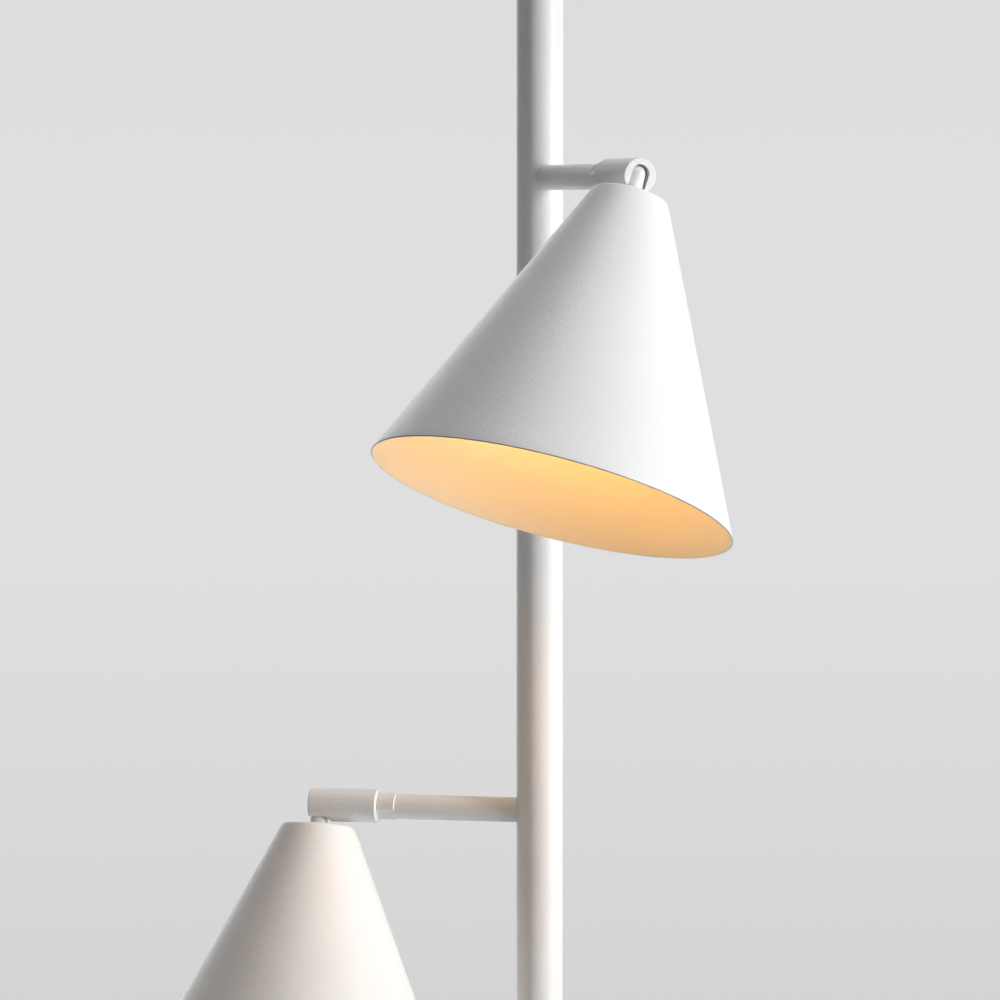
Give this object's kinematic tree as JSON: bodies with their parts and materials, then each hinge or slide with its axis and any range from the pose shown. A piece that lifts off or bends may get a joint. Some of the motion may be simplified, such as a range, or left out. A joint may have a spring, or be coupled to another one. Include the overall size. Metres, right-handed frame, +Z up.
{
  "type": "tension pole lamp",
  "caption": "White floor-to-ceiling tension pole lamp with short arms, swivel barrels and cone shades that roll and tilt.",
  "frame": {"origin": "centre of the floor pad's underside, on the pole's axis", "axes": "+Z up the pole, +X to the picture's right, +Y away from the picture's camera"},
  "size_m": [0.3614, 0.374, 2.44],
  "materials": {
    "coat": "satin white powder coat with a fine orange-peel texture",
    "steel": "zinc-plated steel",
    "brass": "turned brass",
    "rubber": "matte black rubber",
    "plastic": "moulded white nylon",
    "lead": "white sheathed lead",
    "lampholder": "black moulded phenolic",
    "bulb_cap": "bright rolled screw cap",
    "bulb_glass": "frosted glass, lit warm white"
  },
  "bodies": {
    "pole": {"floor_pad": "rubber", "foot_cup": "coat", "foot_screw": "steel", "foot_plug": "steel", "lower_tube": "coat", "lower_coupling": "steel", "middle_tube": "coat", "upper_coupling": "steel", "upper_tube": "coat", "cord_grommet": "rubber", "feed_lead": "lead", "junction_block": "plastic", "clamp_collar": "coat", "arm_nipples": "steel", "arm_nuts": "steel", "arm_saddles": "steel", "arm_plugs": "steel", "swivel_studs": "steel", "swivel_nuts": "steel", "swivel_washers": "plastic", "upper_arm_tube": "coat", "upper_collar": "coat", "upper_arm_lead": "lead", "lower_arm_tube": "coat", "lower_collar": "coat", "lower_arm_lead": "lead"},
    "extension": {"extension_tube": "coat", "spring_seat": "steel", "guide_ring": "plastic"},
    "plunger": {"plunger_tube": "steel", "plunger_collar": "brass", "ceiling_cup": "coat", "ceiling_pad": "rubber", "tension_spring": "steel"},
    "clamp_screw": {"clamp_screw": "steel"},
    "upper_barrel": {"upper_barrel": "coat", "upper_pivot_pins": "steel", "upper_barrel_lead": "lead"},
    "upper_shade": {"upper_knuckle": "coat", "upper_shade": "coat", "upper_shade_nut": "steel", "upper_lampholder": "lampholder", "upper_screw_shell": "brass", "upper_bulb_cap": "bulb_cap", "upper_bulb_glass": "bulb_glass", "upper_stem_lead": "lead"},
    "lower_barrel": {"lower_barrel": "coat", "lower_pivot_pins": "steel", "lower_barrel_lead": "lead"},
    "lower_shade": {"lower_knuckle": "coat", "lower_shade": "coat", "lower_shade_nut": "steel", "lower_lampholder": "lampholder", "lower_screw_shell": "brass", "lower_bulb_cap": "bulb_cap", "lower_bulb_glass": "bulb_glass", "lower_stem_lead": "lead"}
  },
  "joints": [
    {"name": "height_slide", "type": "slide", "parent": "pole", "child": "extension", "axis": [0, 0, 1], "range_m": [-0.075, 0.12]},
    {"name": "plunger_slide", "type": "slide", "parent": "extension", "child": "plunger", "axis": [0, 0, 1], "range_m": [-0.03, 0.03], "stiffness_N_per_m": 3000, "deforming": ["tension_spring"]},
    {"name": "clamp_screw_turn", "type": "hinge", "parent": "pole", "child": "clamp_screw", "pos_m": [0, 0, 2.256], "axis": [0.9063, 0.4226, 0], "range_deg": [0, 300]},
    {"name": "upper_swivel", "type": "hinge", "parent": "pole", "child": "upper_barrel", "pos_m": [0.05395, -0.12528, 1.75], "axis": [0.3955, -0.9184, 0], "range_deg": [-130.2, 169.8]},
    {"name": "upper_tilt", "type": "hinge", "parent": "upper_barrel", "child": "upper_shade", "pos_m": [0.0543, -0.12513, 1.75103], "axis": [-0.8641, -0.3722, 0.3387], "range_deg": [-11.4, 77.6]},
    {"name": "lower_swivel", "type": "hinge", "parent": "pole", "child": "lower_barrel", "pos_m": [-0.13301, 0.03022, 1.37], "axis": [-0.9751, 0.2215, 0], "range_deg": [-162.2, 137.8]},
    {"name": "lower_tilt", "type": "hinge", "parent": "lower_barrel", "child": "lower_shade", "pos_m": [-0.13296, 0.03045, 1.37108], "axis": [0.2165, 0.9531, -0.2113], "range_deg": [-5.1, 83.9]}
  ]
}
